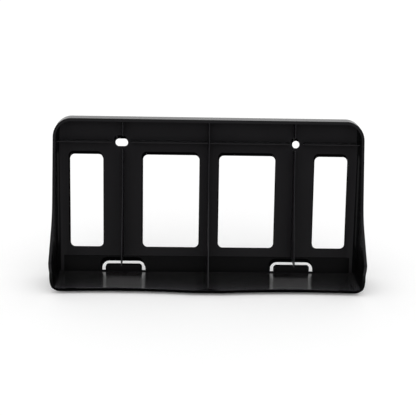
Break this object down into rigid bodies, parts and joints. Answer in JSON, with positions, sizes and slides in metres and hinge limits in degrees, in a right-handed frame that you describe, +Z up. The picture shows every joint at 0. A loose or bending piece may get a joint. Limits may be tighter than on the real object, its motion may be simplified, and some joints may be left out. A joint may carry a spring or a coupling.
{
  "type": "number plate holder",
  "caption": "Black moulded plastic bracket that holds a number plate on a car's bumper: a leaning, windowed panel with a flanged rim, ribs and a ledge.",
  "frame": {"origin": "middle of the part's box at the level of the ledge's underside", "axes": "+X across the width, +Y from the bumper side to the plate side, +Z up from the ledge"},
  "size_m": [0.3144, 0.0808, 0.159],
  "materials": {
    "moulding": "satin black, as moulded"
  },
  "bodies": {
    "root": {"plate_holder": "moulding"}
  },
  "joints": []
}
